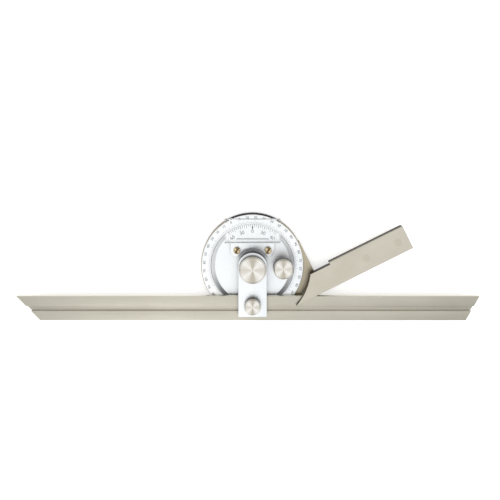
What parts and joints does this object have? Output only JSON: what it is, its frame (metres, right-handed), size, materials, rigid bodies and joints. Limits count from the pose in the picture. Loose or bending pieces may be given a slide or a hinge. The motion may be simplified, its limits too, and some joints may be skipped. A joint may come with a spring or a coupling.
{
  "type": "bevel protractor",
  "caption": "Bevel protractor with a fixed stock, circular dial, vernier under a magnifier, geared fine adjustment and a sliding blade.",
  "frame": {"origin": "on the turret's turning axis, at the flat back face", "axes": "+X along the blade towards its 60 degree end, +Y from the blade towards the magnifier, +Z out of the dial face"},
  "size_m": [0.3, 0.0686, 0.0172],
  "materials": {
    "ground_steel": "fine ground steel",
    "blade_steel": "ground steel with lengthwise grain",
    "satin_chrome": "satin",
    "knob_steel": "turned faces with knurled sides",
    "screw_steel": "turned",
    "gear_steel": "oiled",
    "bearing_bronze": "oiled",
    "screw_brass": "turned",
    "clear_glass": "polished"
  },
  "bodies": {
    "base": {"base_plate": "ground_steel", "stock_bar": "ground_steel", "stock_plugs": "ground_steel", "stock_pins": "screw_steel", "dial_ring": "satin_chrome", "ring_gear": "gear_steel", "centre_stud": "screw_steel"},
    "turret_group": {"turret": "satin_chrome", "arm": "satin_chrome", "clamp_key": "screw_steel", "centre_washer": "screw_steel", "pinion_bush": "knob_steel", "vernier_plate": "satin_chrome", "vernier_screws": "screw_brass", "magnifier": "clear_glass"},
    "fine_adjuster": {"pinion_shaft": "gear_steel", "fine_knob": "knob_steel"},
    "centre_clamp": {"centre_knob": "knob_steel"},
    "blade_slide": {"blade": "blade_steel"},
    "blade_clamp": {"clamp_screw": "screw_steel", "clamp_knob": "knob_steel"}
  },
  "joints": [
    {"name": "turret_turn", "type": "hinge", "parent": "base", "child": "turret_group", "pos_m": [0, 0, 0], "axis": [0, 0, 1], "range_deg": [-174, 6]},
    {"name": "fine_turn", "type": "hinge", "parent": "turret_group", "child": "fine_adjuster", "pos_m": [0.0196, 0, 0], "axis": [0, 0, 1], "range_deg": [-30, 785]},
    {"name": "centre_clamp_turn", "type": "hinge", "parent": "base", "child": "centre_clamp", "pos_m": [0, 0, 0], "axis": [0, 0, 1], "range_deg": [0, 360]},
    {"name": "blade_travel", "type": "slide", "parent": "turret_group", "child": "blade_slide", "axis": [1, 0, 0], "range_m": [-0.12, 0.12]},
    {"name": "blade_clamp_turn", "type": "hinge", "parent": "turret_group", "child": "blade_clamp", "pos_m": [0, -0.0236, 0], "axis": [0, 0, 1], "range_deg": [0, 360]}
  ],
  "couplings": [
    {"joint": "fine_turn", "follows": "turret_turn", "ratio": -4.5}
  ]
}
